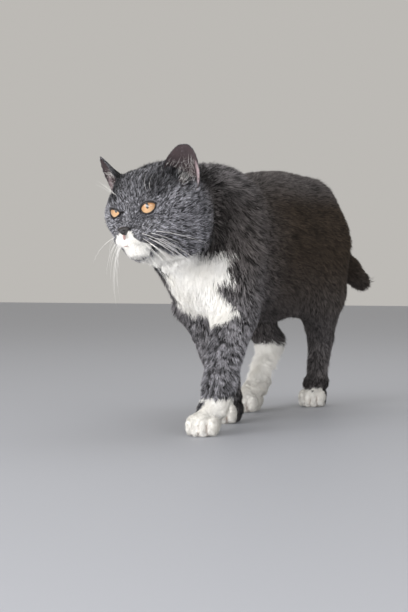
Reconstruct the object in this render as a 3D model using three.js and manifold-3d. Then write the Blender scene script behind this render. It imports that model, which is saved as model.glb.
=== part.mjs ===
import * as THREE from "three";
import { ParametricGeometry } from "three/addons/geometries/ParametricGeometry.js";
import { mergeVertices } from "three/addons/utils/BufferGeometryUtils.js";
import Module from "manifold-3d";

// A stout short-haired cat at life size, walking with its head turned a little to its right.
// Millimetres, +Z up, the nose towards -Y and the cat's left towards +X. Every size is taken over the coat.

// ---- Driving dimensions ----
const WITHERS = 307; // height over the shoulders
const RUMP = 319; // height over the hips
const BELLY = 117; // height of the belly's lowest line
const CHEST_WIDTH = 138;
const HEAD_WIDTH = 124; // across the cheeks
const EYE_RADIUS = 10.8;
const EYE_SPACING = 45; // between the eyes' centres
const PAW_WIDTH = 38;
const LEG_RADIUS = 20; // of the forearm
const FOOT_RADIUS = 17; // of the hind foot below the hock
const TAIL_RADIUS = 20;
const GAP = 0.3; // left between neighbouring pieces
const FAR = 400; // further than any piece reaches

// Cell sizes of the facets, finer where the form is finer.
const HEAD_CELL = 7.9;
const TRUNK_CELL = 22;
const NECK_CELL = 17;
const FORELEG_CELL = 12.5;
const HINDLEG_CELL = 16.5;
const PAW_CELL = 7.6;
const TAIL_CELL = 15;

// ---- Where the joints and feet are, in the walking pose ----
const LEGS = {
  foreleg_left: {
    bones: [[42, -118, 200], [40, -116, 136], [32, -143, 57], [28, -152, 24]],
    radii: [34, 27, LEG_RADIUS, 17],
    paw: [24, -166],
    wrist: 40,
    side: 1,
    hind: false,
  },
  foreleg_right: {
    bones: [[-30, -86, 198], [-29, -66, 138], [-8, -34, 52], [-4, -30, 24]],
    radii: [29, 22, LEG_RADIUS - 1, 17],
    paw: [-3, -36],
    wrist: 40,
    side: -1,
    hind: false,
  },
  hindleg_left: {
    bones: [[44, 158, 230], [56, 134, 156], [32, 216, 92], [26, 210, 22]],
    radii: [40, 36, FOOT_RADIUS + 2, FOOT_RADIUS],
    paw: [26, 204],
    wrist: 40,
    side: 1,
    hind: true,
  },
  hindleg_right: {
    bones: [[-28, 146, 228], [-42, 100, 150], [-24, 172, 90], [-28, 116, 22]],
    radii: [40, 34, FOOT_RADIUS + 2, FOOT_RADIUS],
    paw: [-30, 98],
    wrist: 40,
    side: -1,
    hind: true,
  },
};
const SWAY = 8; // the hips swing this far to the left of the shoulders
const TAIL = [
  [SWAY, 196, 258],
  [SWAY + 6, 236, 250],
  [SWAY + 14, 284, 222],
  [SWAY + 24, 336, 188],
  [SWAY + 31, 382, 171],
];

// The head's own frame: its origin in the middle of the skull, its nose towards -Y.
const HEAD_AT = [-10, -202, 256];
const HEAD_TURN = -18; // degrees about Z, to the cat's right
const HEAD_NOD = 8; // degrees, nose down
const HEAD_TILT = -5; // degrees, left side up

const radians = THREE.MathUtils.degToRad;
const headPose = new THREE.Matrix4().compose(
  new THREE.Vector3(...HEAD_AT),
  new THREE.Quaternion().setFromEuler(
    new THREE.Euler(radians(HEAD_NOD), radians(HEAD_TILT), radians(HEAD_TURN), "ZYX"),
  ),
  new THREE.Vector3(1, 1, 1),
);

// ---- Shapes as signed distances: each returns a function of x, y and z that is negative inside ----
// A `squareness` over 2 makes an ellipsoid fuller in its corners.
function ellipsoid([cx, cy, cz], [rx, ry, rz], tilt = 0, squareness = 2) {
  const c = Math.cos(radians(tilt));
  const s = Math.sin(radians(tilt));
  const n = squareness - 1;
  return (x, y, z) => {
    const u = Math.abs(x - cx) / rx;
    const v = Math.abs((y - cy) * c + (z - cz) * s) / ry;
    const w = Math.abs((z - cz) * c - (y - cy) * s) / rz;
    const reach = (u * u ** n + v * v ** n + w * w ** n) ** (1 / squareness);
    const slope = Math.hypot(u ** n / rx, v ** n / ry, w ** n / rz);
    return slope > 0 ? (reach ** n * (reach - 1)) / slope : -Math.min(rx, ry, rz);
  };
}

function limb([ax, ay, az], [bx, by, bz], startRadius, endRadius) {
  const [dx, dy, dz] = [bx - ax, by - ay, bz - az];
  const lengthSquared = dx * dx + dy * dy + dz * dz;
  return (x, y, z) => {
    const along = ((x - ax) * dx + (y - ay) * dy + (z - az) * dz) / lengthSquared;
    const t = THREE.MathUtils.clamp(along, 0, 1);
    const off = Math.hypot(x - ax - dx * t, y - ay - dy * t, z - az - dz * t);
    return off - startRadius - (endRadius - startRadius) * t;
  };
}

// Joins shapes with a fillet of about `soft` mm.
function blended(shapes, soft) {
  return (x, y, z) => {
    let d = shapes[0](x, y, z);
    for (let i = 1; i < shapes.length; i++) {
      const e = shapes[i](x, y, z);
      const h = Math.max(soft - Math.abs(d - e), 0) / soft;
      d = Math.min(d, e) - (h * h * soft) / 4;
    }
    return d;
  };
}

// Presses the first shape in where the second one lies.
function hollowed(shape, tool, soft) {
  return (x, y, z) => {
    const d = shape(x, y, z);
    const e = -tool(x, y, z);
    const h = Math.max(soft - Math.abs(d - e), 0) / soft;
    return Math.max(d, e) + (h * h * soft) / 4;
  };
}

function chain(points, radii, soft) {
  return blended(points.slice(1).map((p, i) => limb(points[i], p, radii[i], radii[i + 1])), soft);
}

// A shape drawn in the head's frame, used in the cat's.
function onHead(shape) {
  const e = headPose.clone().invert().elements;
  return (x, y, z) =>
    shape(
      e[0] * x + e[4] * y + e[8] * z + e[12],
      e[1] * x + e[5] * y + e[9] * z + e[13],
      e[2] * x + e[6] * y + e[10] * z + e[14],
    );
}

// ---- The body's masses ----
const halfChest = CHEST_WIDTH / 2;
const bodyMiddle = (height) => (height + BELLY) / 2;

function trunkShape() {
  const depth = (height) => (height - BELLY) / 2 - 6;
  const ribs = ellipsoid([0, -40, bodyMiddle(WITHERS) - 1], [halfChest - 3, 110, depth(WITHERS) + 1], 0, 2.2);
  const loin = ellipsoid([SWAY / 2, 66, bodyMiddle(RUMP) - 4], [halfChest + 6, 112, depth(RUMP)], 0, 2.4);
  const hips = ellipsoid([SWAY, 138, 226], [halfChest - 1, 82, RUMP - 231], 0, 2.3);
  const breast = ellipsoid([0, -130, 205], [41, 41, 62]);
  const withers = ellipsoid([0, -84, 250], [42, 62, WITHERS - 251]);
  const shoulders = [1, -1].map((side) =>
    ellipsoid([side * 34, side < 0 ? -84 : -112, 208], [27, 42, 74], 12),
  );
  const haunches = [1, -1].map((side) =>
    ellipsoid([SWAY + side * 42, side < 0 ? 144 : 156, 222], [35, 62, 90], -14, 2.3),
  );
  return blended([ribs, loin, hips, breast, withers, ...shoulders, ...haunches], 22);
}

function neckShape() {
  const nape = limb([0, -100, 247], [-20, -168, 261], 60, 50);
  const throat = limb([0, -118, 205], [-10, -180, 222], 46, 36);
  return blended([nape, throat], 24);
}

function legShape({ bones, radii, paw, side, hind }) {
  const shank = chain(bones, radii, 12);
  const [px, py] = paw;
  const half = PAW_WIDTH / 2;
  const turn = hind ? 0.12 * side : 0.08 * side; // toes point a little outwards
  const place = (across, ahead, up) => [px + across + turn * ahead, py - ahead + turn * across, up];
  const sole = ellipsoid(place(0, 2, 15), [half - 3.5, 24, 17]);
  const heel = ellipsoid(place(0, -12, 15), [half - 6, 16, 14]);
  const toes = [-1.5, -0.5, 0.5, 1.5].map((i) => {
    const inner = Math.abs(i) < 1;
    return ellipsoid(place(i * 8.6, inner ? 17 : 11, 12.5), [6.4, 12, inner ? 12.5 : 11.5]);
  });
  const foot = blended([sole, heel], 10);
  const parts = [blended([shank, foot], 14), blended(toes, 2)];
  if (hind) {
    const [hx, hy, hz] = bones[2];
    parts.push(ellipsoid([hx, hy + 8, hz + 2], [13, 15, 16]));
  }
  return blended(parts, 5);
}

function tailShape() {
  const radii = [TAIL_RADIUS + 5, TAIL_RADIUS + 2, TAIL_RADIUS, TAIL_RADIUS, TAIL_RADIUS - 3];
  return chain(TAIL, radii, 10);
}

function headShape() {
  const half = HEAD_WIDTH / 2;
  const pair = (make) => [1, -1].map(make);
  const skull = ellipsoid([0, 4, 4], [51, 52, 42]);
  const forehead = ellipsoid([0, -24, 12], [36, 29, 28]);
  const earRoots = pair((s) => ellipsoid([s * 32, -8, 23], [22, 24, 21]));
  const cheeks = pair((s) => ellipsoid([s * (half - 33), -2, -16], [32, 36, 33]));
  const cheekbones = pair((s) => ellipsoid([s * (half - 23), -20, -4], [21, 25, 22]));
  const jowls = pair((s) => ellipsoid([s * 28, -2, -37], [27, 30, 25]));
  const face = blended([skull, forehead, ...earRoots, ...cheeks, ...cheekbones, ...jowls], 20);
  const pads = pair((s) => ellipsoid([s * 11, -56, -28], [14, 15, 12.5]));
  const whiskerBeds = pair((s) => ellipsoid([s * 20, -44, -27], [16, 18, 14]));
  const bridge = limb([0, -40, 4], [0, -61, -16], 14, 9.5);
  const chin = ellipsoid([0, -51, -44], [14, 15, 12]);
  const muzzle = blended([...pads, ...whiskerBeds, bridge, chin], 7);
  const whole = blended([face, muzzle], 14);
  const sockets = pair((s) => ellipsoid([s * (EYE_SPACING / 2 + 1), -62, 3], [12, 12, 8]));
  return sockets.reduce((shape, socket) => hollowed(shape, socket, 7), whole);
}

const torso = blended([trunkShape(), neckShape()], 30);
const body = blended([torso, onHead(headShape()), tailShape(), ...Object.values(LEGS).map(legShape)], 20);

// ---- From distances to closed meshes ----
const wasm = await Module();
wasm.setup();

function solidOf(geometry) {
  const bare = geometry.clone();
  bare.deleteAttribute("normal");
  bare.deleteAttribute("uv");
  const merged = mergeVertices(bare, 1e-3);
  return new wasm.Manifold(
    new wasm.Mesh({
      numProp: 3,
      vertProperties: new Float32Array(merged.attributes.position.array),
      triVerts: new Uint32Array(merged.index.array),
    }),
  );
}

function geometryOf(solid) {
  const mesh = solid.getMesh();
  return new THREE.BufferGeometry()
    .setAttribute("position", new THREE.BufferAttribute(new Float32Array(mesh.vertProperties), 3))
    .setIndex(new THREE.BufferAttribute(new Uint32Array(mesh.triVerts), 1));
}

// Moves a point onto the shape's surface, down the slope of the distance.
function settle(shape, p) {
  const h = 0.05;
  for (let step = 0; step < 3; step++) {
    const d = shape(...p);
    const slope = [0, 1, 2].map((a) => {
      const ahead = [...p];
      ahead[a] += h;
      return (shape(...ahead) - d) / h;
    });
    const steepness = slope[0] ** 2 + slope[1] ** 2 + slope[2] ** 2;
    if (steepness < 1e-6) return p;
    p = p.map((v, a) => v - (d * slope[a]) / steepness);
  }
  return p;
}

// A grid face whose corners lie inside and outside in turn would pinch the surface, so the
// shallower of its outside corners is moved just inside, until no such face is left.
function unpinch(value, stride) {
  const shallow = -0.01;
  let pinched = true;
  while (pinched) {
    pinched = false;
    for (let at = 0; at < value.length - stride[1] - stride[2]; at++)
      for (let a = 0; a < 3; a++) {
        const [s, t] = [stride[(a + 1) % 3], stride[(a + 2) % 3]];
        const [p, q, r, u] = [at, at + s, at + s + t, at + t];
        const crossed = value[p] < 0 !== value[q] < 0 && value[r] < 0 !== value[u] < 0;
        if (!crossed || value[p] < 0 !== value[r] < 0) continue;
        const [e, f] = value[p] < 0 ? [q, u] : [p, r];
        value[value[e] < value[f] ? e : f] = shallow;
        pinched = true;
      }
  }
}

// The surface of a shape inside a box, by surface nets: one vertex in each cell that the surface
// passes through, and one quad round each grid edge that it cuts.
function surface(shape, low, high, cell) {
  const n = low.map((v, a) => Math.ceil((high[a] - v) / cell) + 1);
  const stride = [1, n[0], n[0] * n[1]];
  const place = (i, a) => low[a] + i * cell;
  const value = new Float32Array(n[0] * n[1] * n[2]);
  for (let k = 0; k < n[2]; k++)
    for (let j = 0; j < n[1]; j++)
      for (let i = 0; i < n[0]; i++) {
        const border = [i, j, k].some((v, a) => v === 0 || v === n[a] - 1);
        const d = shape(place(i, 0), place(j, 1), place(k, 2));
        value[i + stride[1] * j + stride[2] * k] = border ? Math.max(d, cell) : d;
      }
  unpinch(value, stride);
  const corners = [0, 1, 2, 3, 4, 5, 6, 7].map((c) => [c & 1, (c >> 1) & 1, (c >> 2) & 1]);
  const vertexOf = new Int32Array(value.length).fill(-1);
  const points = [];
  for (let k = 0; k < n[2] - 1; k++)
    for (let j = 0; j < n[1] - 1; j++)
      for (let i = 0; i < n[0] - 1; i++) {
        const at = i + stride[1] * j + stride[2] * k;
        const v = corners.map(([a, b, c]) => value[at + a * stride[0] + b * stride[1] + c * stride[2]]);
        if (v.every((d) => d < 0) || v.every((d) => d >= 0)) continue;
        const sum = [0, 0, 0];
        let cuts = 0;
        for (let c = 0; c < 8; c++)
          for (let a = 0; a < 3; a++) {
            const other = c | (1 << a);
            if (other === c || v[c] < 0 === v[other] < 0) continue;
            const t = v[c] / (v[c] - v[other]);
            for (let b = 0; b < 3; b++) sum[b] += corners[c][b] + (b === a ? t : 0);
            cuts++;
          }
        const mean = [i, j, k].map((g, a) => place(g + sum[a] / cuts, a));
        const settled = Math.abs(shape(...mean)) < cell / 2 ? settle(shape, mean) : mean;
        const stays = settled.every((s, a) => Math.abs(s - mean[a]) < cell / 2);
        vertexOf[at] = points.length;
        points.push(stays ? settled : mean);
      }
  const faces = [];
  const apart = (p, q) => Math.hypot(...points[p].map((v, a) => v - points[q][a]));
  for (let k = 0; k < n[2] - 1; k++)
    for (let j = 0; j < n[1] - 1; j++)
      for (let i = 0; i < n[0] - 1; i++) {
        const at = i + stride[1] * j + stride[2] * k;
        for (let a = 0; a < 3; a++) {
          const inside = value[at] < 0;
          if (inside === value[at + stride[a]] < 0) continue;
          const [s, t] = [stride[(a + 1) % 3], stride[(a + 2) % 3]];
          const ring = [at - s - t, at - t, at, at - s].map((v) => vertexOf[v]);
          const [p, q, r, u] = inside ? ring : [...ring].reverse();
          if (apart(p, r) < apart(q, u)) faces.push(p, q, r, p, r, u);
          else faces.push(p, q, u, q, r, u);
        }
      }
  return new THREE.BufferGeometry()
    .setAttribute("position", new THREE.Float32BufferAttribute(points.flat(), 3))
    .setIndex(faces);
}

// ---- Knives: the cut-off side of a plane, as a large box whose face lies on the plane ----
function beyond(point, normal, shift = 0) {
  const out = new THREE.Vector3(...normal).normalize();
  const turn = new THREE.Quaternion().setFromUnitVectors(new THREE.Vector3(0, 0, 1), out);
  const centre = new THREE.Vector3(...point).addScaledVector(out, FAR + shift);
  const matrix = new THREE.Matrix4().compose(centre, turn, new THREE.Vector3(1, 1, 1));
  return solidOf(new THREE.BoxGeometry(2 * FAR, 2 * FAR, 2 * FAR).applyMatrix4(matrix));
}

function box(low, high) {
  const size = high.map((v, a) => v - low[a]);
  const centre = high.map((v, a) => (v + low[a]) / 2);
  return solidOf(new THREE.BoxGeometry(...size).translate(...centre));
}

const half = GAP / 2;

// The regions that part the body. Each grows by `grow` on every side, so that a neighbour cut with
// the grown region keeps a gap to the piece inside it.
const aboveFloor = beyond([0, 0, 0], [0, 0, 1]);
const throat = new THREE.Vector3(0, 30, -20).applyMatrix4(headPose).toArray();
const headward = new THREE.Vector3(0, -0.76, 0.65).transformDirection(headPose).toArray();
const headRegion = (grow) => beyond(throat, headward, -grow);
const foreRegion = (grow) => beyond([0, -138, 240], [-0.04, -0.94, 0.34], -grow);

function legRegion({ side, hind }, grow) {
  const groin = hind ? [side * 16, 120, 146] : [side * 16, -100, 118];
  const slant = hind ? [side * 0.62, 0.3, -0.72] : [side * 0.6, -0.06, -0.8];
  const [front, back] = hind ? [54, 260] : [-260, -48];
  const across = side > 0 ? [0, 130] : [-130, 0];
  const upper = box([across[0] - grow, front - grow, 90], [across[1] + grow, back + grow, 260]);
  const [shinFront, shinBack] = hind ? [40, 300] : [-300, 34];
  const lower = box([-130, shinFront - grow, -60], [130, shinBack + grow, 96 + grow]);
  return upper.intersect(beyond(groin, slant, -grow)).add(lower);
}

function tailRegion(grow) {
  const root = box([-60, 150, 216 - grow], [60, 262, FAR]);
  const rest = box([-60, 240 - grow, 60], [160, 560, FAR]);
  return root.add(rest).intersect(beyond([SWAY, 227, 256], [0.12, 0.96, -0.2], -grow));
}

// ---- The eyes, nose and ears, drawn in the head's frame ----
const eyeAt = (side) => [side * (EYE_SPACING / 2), -46, 2];
const NOSE_AT = [0, -68, -19];
const NOSE_RADII = [8.5, 5, 6];
const EAR = { height: 41, width: 44, thick: 3.4, sunk: 12, spread: 41, forward: 10 };
const EAR_SEAT = { left: 26, right: 29 }; // height of the root above the head's middle
const EAR_LEAN = { left: [0.43, -0.08, 0.9], right: [-0.59, -0.17, 0.79] }; // from root to tip
const EAR_FACING = { left: 34, right: -38 }; // degrees from straight ahead

function ball(at, radii, around, down) {
  return new THREE.SphereGeometry(1, around, down)
    .scale(...radii)
    .translate(...at)
    .applyMatrix4(headPose);
}

// An ear is a curled leaf: its section is a crescent, wide and deep at the root and closing at the
// rounded tip. `grow` makes the slot that the root stands in.
function ear(side, grow) {
  const { height, width, thick, sunk, spread, forward } = EAR;
  const aroundSteps = 16;
  const upSteps = 9;
  const name = side > 0 ? "left" : "right";
  const up = new THREE.Vector3(...EAR_LEAN[name]).normalize();
  const turn = radians(EAR_FACING[name]);
  const facing = new THREE.Vector3(Math.sin(turn), -Math.cos(turn), 0);
  const across = facing.clone().cross(up).negate().normalize();
  const pose = new THREE.Matrix4().makeBasis(across, up.clone().cross(across), up);
  pose.setPosition(side * spread, -forward, EAR_SEAT[name]);
  const leaf = (s, t, target) => {
    const row = Math.round(t * upSteps);
    const climb = Math.sin(((row - 1) / (upSteps - 1)) * (Math.PI / 2));
    const level = row < 2 ? -sunk - grow : climb * (height + sunk) - sunk;
    const rise = Math.max(level, 0) / height;
    const halfWidth = Math.max((width / 2) * Math.sqrt(Math.max(1 - rise ** 2.1, 0)), 0.02);
    const curl = THREE.MathUtils.lerp(1.5, 0.7, rise); // half the angle that the crescent spans
    const radius = halfWidth / Math.sin(curl);
    const loop = 2 * Math.PI * s;
    const angle = row === upSteps ? 0 : Math.cos(loop) * (curl + grow / radius);
    const flat = row === 0 || row === upSteps;
    const through = flat ? 0 : Math.sign(Math.sin(loop)) * Math.abs(Math.sin(loop)) ** 0.6;
    const r = radius + through * ((thick / 2) * THREE.MathUtils.lerp(1.35, 0.8, rise) + grow);
    target.set(r * Math.sin(angle), (r * Math.cos(angle) - radius) * 0.8, level);
  };
  return new ParametricGeometry(leaf, aroundSteps, upSteps).applyMatrix4(pose).applyMatrix4(headPose);
}

// ---- The pieces ----
const COAT = new THREE.MeshStandardMaterial({ color: 0x5a5b62, roughness: 0.9, metalness: 0 });
const WHITE_COAT = new THREE.MeshStandardMaterial({ color: 0xf0eeea, roughness: 0.9, metalness: 0 });
const EYE = new THREE.MeshStandardMaterial({ color: 0xd9964a, roughness: 0.1, metalness: 0 });
const LEATHER = new THREE.MeshStandardMaterial({ color: 0x2b2a2c, roughness: 0.5, metalness: 0 });

const cat = new THREE.Group();
const pieces = new THREE.Group();
cat.add(pieces);

function addPiece(name, geometry, material) {
  const mesh = new THREE.Mesh(geometry, material);
  mesh.name = name;
  pieces.add(mesh);
}

function largest(solid) {
  return solid.decompose().sort((a, b) => b.volume() - a.volume())[0];
}

function flesh(low, high, cell) {
  return solidOf(surface(body, low, high, cell)).intersect(aboveFloor);
}

function addHead() {
  const low = HEAD_AT.map((v, a) => v - [84, 92, 80][a]);
  const high = HEAD_AT.map((v, a) => v + [84, 80, 72][a]);
  let solid = flesh(low, high, HEAD_CELL).intersect(headRegion(-half));
  const grown = EYE_RADIUS + GAP;
  for (const side of [1, -1]) {
    solid = solid.subtract(solidOf(ball(eyeAt(side), [grown, grown, grown], 14, 9)));
    solid = solid.subtract(solidOf(ear(side, GAP)));
    const name = side > 0 ? "left" : "right";
    const eye = ball(eyeAt(side), [EYE_RADIUS, EYE_RADIUS, EYE_RADIUS], 14, 9);
    addPiece(`eye_${name}`, eye, EYE);
    addPiece(`ear_${name}`, geometryOf(solidOf(ear(side, 0))), COAT);
  }
  solid = solid.subtract(solidOf(ball(NOSE_AT, NOSE_RADII.map((r) => r + GAP), 12, 8)));
  addPiece("nose", ball(NOSE_AT, NOSE_RADII, 12, 8), LEATHER);
  addPiece("head", geometryOf(largest(solid)), COAT);
}

function addTrunk() {
  const low = [-110, -270, 60];
  const high = [110, 262, 340];
  let middle = flesh(low, high, TRUNK_CELL).subtract(foreRegion(half)).subtract(tailRegion(half));
  let front = flesh(low, high, NECK_CELL).subtract(headRegion(half)).intersect(foreRegion(-half));
  for (const leg of Object.values(LEGS)) {
    middle = middle.subtract(legRegion(leg, half));
    front = front.subtract(legRegion(leg, half));
  }
  addPiece("trunk", geometryOf(largest(middle)), COAT);
  addPiece("neck", geometryOf(largest(front)), COAT);
}

function addLeg(name) {
  const leg = LEGS[name];
  const [px, py] = leg.paw;
  const region = legRegion(leg, -half).subtract(foreRegion(half)).subtract(tailRegion(half));
  const above = beyond([0, 0, leg.wrist], [0, 0, 1], half);
  const below = beyond([0, 0, leg.wrist], [0, 0, -1], half);
  const middleX = leg.side * 56;
  const [front, back] = leg.hind ? [38, 262] : [-250, 40];
  const low = [middleX - 84, front, leg.wrist - 20];
  const high = [middleX + 84, back, 262];
  const shank = flesh(low, high, leg.hind ? HINDLEG_CELL : FORELEG_CELL);
  const foot = flesh([px - 36, py - 48, -12], [px + 36, py + 56, leg.wrist + 20], PAW_CELL);
  const upper = largest(shank.intersect(region).intersect(above));
  const paw = largest(foot.intersect(region).intersect(below));
  addPiece(name, geometryOf(upper), COAT);
  addPiece(name.replace("leg", "paw"), geometryOf(paw), WHITE_COAT);
}

function addTail() {
  const whole = flesh([-60, 170, 130], [90, 430, 310], TAIL_CELL).intersect(tailRegion(-half));
  const across = [0.2, 0.87, -0.45];
  const cut = (ahead) => beyond([20, 298, 214], across.map((v) => v * ahead), half);
  addPiece("tail_base", geometryOf(largest(whole.intersect(cut(-1)))), COAT);
  addPiece("tail_tip", geometryOf(largest(whole.intersect(cut(1)))), COAT);
}

addHead();
addTrunk();
Object.keys(LEGS).forEach(addLeg);
addTail();

// The origin is on the floor, under the middle of the whole model.
const bounds = new THREE.Box3().setFromObject(pieces);
const middle = bounds.getCenter(new THREE.Vector3());
pieces.position.set(-middle.x, -middle.y, 0);

export default cat;
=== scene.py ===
import math

import bmesh
import bpy
import numpy as np
from mathutils import Matrix, Vector
from mathutils.bvhtree import BVHTree
from mathutils.kdtree import KDTree


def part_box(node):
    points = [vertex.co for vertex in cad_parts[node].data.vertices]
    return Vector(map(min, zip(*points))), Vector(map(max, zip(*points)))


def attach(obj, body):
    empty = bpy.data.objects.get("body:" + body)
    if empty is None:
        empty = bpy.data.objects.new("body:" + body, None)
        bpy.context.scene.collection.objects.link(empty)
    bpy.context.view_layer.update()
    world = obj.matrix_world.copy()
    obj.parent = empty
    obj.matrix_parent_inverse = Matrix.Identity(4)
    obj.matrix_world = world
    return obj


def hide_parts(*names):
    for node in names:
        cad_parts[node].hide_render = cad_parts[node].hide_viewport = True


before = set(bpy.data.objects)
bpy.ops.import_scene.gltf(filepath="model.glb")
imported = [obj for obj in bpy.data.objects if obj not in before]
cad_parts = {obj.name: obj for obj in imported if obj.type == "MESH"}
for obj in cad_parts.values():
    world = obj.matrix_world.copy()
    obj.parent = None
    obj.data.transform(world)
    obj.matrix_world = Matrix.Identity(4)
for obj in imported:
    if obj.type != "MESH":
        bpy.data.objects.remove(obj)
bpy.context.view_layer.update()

# ---- Camera, light and floor ----
# A pale studio: one long lens low down, at the height of the cat's chest, three broad lights from the
# front and a weak one above, and a plain matt floor that the feet rest on.
mm = 0.001


def colour(red, green, blue):
    """A colour given as it shows on a screen, 0 to 255, for a shader's socket."""
    linear = [((v / 255 + 0.055) / 1.055) ** 2.4 if v > 10 else v / 255 / 12.92 for v in (red, green, blue)]
    return (*linear, 1.0)


def new_object(name, held):
    made = bpy.data.objects.new(name, held)
    bpy.context.scene.collection.objects.link(made)
    return made


def plug(tree, node, values):
    """Gives a node's inputs their values, each a constant or another node's socket."""
    for at, value in values.items():
        if isinstance(value, bpy.types.NodeSocket):
            tree.links.new(value, node.inputs[at])
        else:
            node.inputs[at].default_value = value


def new_material(name):
    made = bpy.data.materials.new(name)
    made.use_nodes = True
    return made, made.node_tree, made.node_tree.nodes["Principled BSDF"]


CAMERA_TILT, CAMERA_TURN = 1.318, 23.6  # degrees down, and round from straight ahead of the cat
camera_data = bpy.data.cameras.new("camera")
camera_data.sensor_fit = "VERTICAL"
camera_data.sensor_height = 36.0
camera_data.lens = 79.24
camera = new_object("camera", camera_data)
camera.location = (0.6245, -1.6155, 0.180)
camera.rotation_euler = (math.radians(90 - CAMERA_TILT), 0, math.radians(CAMERA_TURN))
bpy.context.scene.camera = camera


def add_light(name, at, aim, size, watts, tint):
    lamp = bpy.data.lights.new(name, "AREA")
    lamp.shape = "RECTANGLE"
    lamp.size, lamp.size_y = size
    lamp.energy = watts
    lamp.color = tint
    light = new_object(name, lamp)
    light.location = at
    light.rotation_euler = (Vector(aim) - Vector(at)).to_track_quat("-Z", "Y").to_euler()


add_light("key", (-0.9, -2.1, 0.6), (0, -0.1, 0.2), (1.6, 1.2), 27, (1.0, 0.985, 0.97))
add_light("low", (0.0, -2.3, 0.2), (0, -0.2, 0.17), (1.8, 0.36), 34, (1.0, 0.99, 0.98))
add_light("fill", (1.7, -1.7, 0.6), (0, -0.1, 0.2), (1.6, 0.9), 12, (0.98, 0.985, 1.0))
add_light("top", (0.1, 0.4, 2.0), (0, 0, 0.2), (1.6, 1.6), 9, (1.0, 1.0, 1.0))

world = bpy.data.worlds.new("room")
world.use_nodes = True
sky = world.node_tree.nodes["Background"]
plug(world.node_tree, sky, {"Color": colour(214, 211, 206), "Strength": 0.75})
bpy.context.scene.world = world
bpy.context.scene.view_settings.view_transform = "Standard"

bm = bmesh.new()
bmesh.ops.create_grid(bm, x_segments=8, y_segments=8, size=6.0)
floor_mesh = bpy.data.meshes.new("floor")
bm.to_mesh(floor_mesh)
bm.free()
floor = new_object("floor", floor_mesh)
paint, tree, shader = new_material("floor_paint")
plug(tree, shader, {"Base Color": colour(181, 184, 192), "Roughness": 0.55})
floor.data.materials.append(paint)

# ---- The hide ----
# One soft skin over the whole cat. The modelled bodies give its shape: copies of them are swollen until
# they meet, fused into one surface, smoothed and then drawn in by the depth of the coat that covers them.
FLESH = [
    "head", "neck", "trunk", "ear_left", "ear_right",
    "foreleg_left", "foreleg_right", "forepaw_left", "forepaw_right",
    "hindleg_left", "hindleg_right", "hindpaw_left", "hindpaw_right",
    "tail_base", "tail_tip",
]
FILLED = ["eye_left", "eye_right", "nose"]  # fused too, so that their seats leave no dents
SWELL = 0.4 * mm
VOXEL = 1.6 * mm
SOLE_LIFT = 0.3 * mm  # the skin's least height over the floor
HIDE_FACETS = 170000


def middle_of(node):
    low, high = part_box(node)
    return np.array((low + high) / 2, float)


def merged_copy(node, swell):
    """A bmesh of a modelled body, its loose triangles merged, grown by `swell`."""
    copy = bmesh.new()
    copy.from_mesh(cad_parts[node].data)
    bmesh.ops.remove_doubles(copy, verts=copy.verts, dist=1e-6)
    copy.normal_update()
    outward = [v.normal.copy() for v in copy.verts]
    for v, normal in zip(copy.verts, outward):
        v.co += normal * swell
    return copy


def finished_mesh(thing):
    """The object's mesh with its modifiers applied."""
    shown = thing.evaluated_get(bpy.context.evaluated_depsgraph_get())
    return bpy.data.meshes.new_from_object(shown)


def read(layer, name, width, kind=np.float32):
    values = np.empty(len(layer) * width, kind)
    layer.foreach_get(name, values)
    return values.reshape(-1, width) if width > 1 else values


def vectors(mesh, name="co"):
    """The positions of a mesh's vertices, or their normals."""
    return read(mesh.vertices, name, 3).astype(float)


def relaxed(values, edges, times, share=0.5):
    """Moves each vertex's value `share` of the way to its neighbours' mean, `times` over."""
    ends = np.concatenate([edges[:, 0], edges[:, 1]])
    others = np.concatenate([edges[:, 1], edges[:, 0]])
    count = np.maximum(np.bincount(ends, minlength=len(values)), 1)[:, None]
    flat = values.reshape(len(values), -1).astype(float)
    share = np.broadcast_to(share, len(values))[:, None]
    for _ in range(times):
        mean = np.stack([np.bincount(ends, column[others], len(flat)) for column in flat.T], 1) / count
        flat = flat + (mean - flat) * share
    return flat.reshape(values.shape)


def node_finder(nodes):
    """A function that names the nearest modelled body to each point, by its place in `nodes`."""
    points, triangles, owner = [], [], []
    for i, node in enumerate(nodes):
        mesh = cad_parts[node].data
        mesh.calc_loop_triangles()
        corners = read(mesh.loop_triangles, "vertices", 3, np.int32)
        triangles += (corners + len(points)).tolist()
        points += read(mesh.vertices, "co", 3).tolist()
        owner += [i] * len(corners)
    tree = BVHTree.FromPolygons(points, triangles)
    return lambda where: np.array([owner[tree.find_nearest(p)[2]] for p in where])


joined = bmesh.new()
for node in FLESH + FILLED:
    copy = merged_copy(node, SWELL)
    scratch = bpy.data.meshes.new("scratch")
    copy.to_mesh(scratch)
    copy.free()
    joined.from_mesh(scratch)
hide_mesh = bpy.data.meshes.new("hide")
joined.to_mesh(hide_mesh)
joined.free()
hide = new_object("hide", hide_mesh)
fuse = hide.modifiers.new("fuse", "REMESH")
fuse.mode = "VOXEL"
fuse.voxel_size = VOXEL
hide.data = finished_mesh(hide)
hide.modifiers.clear()

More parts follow.
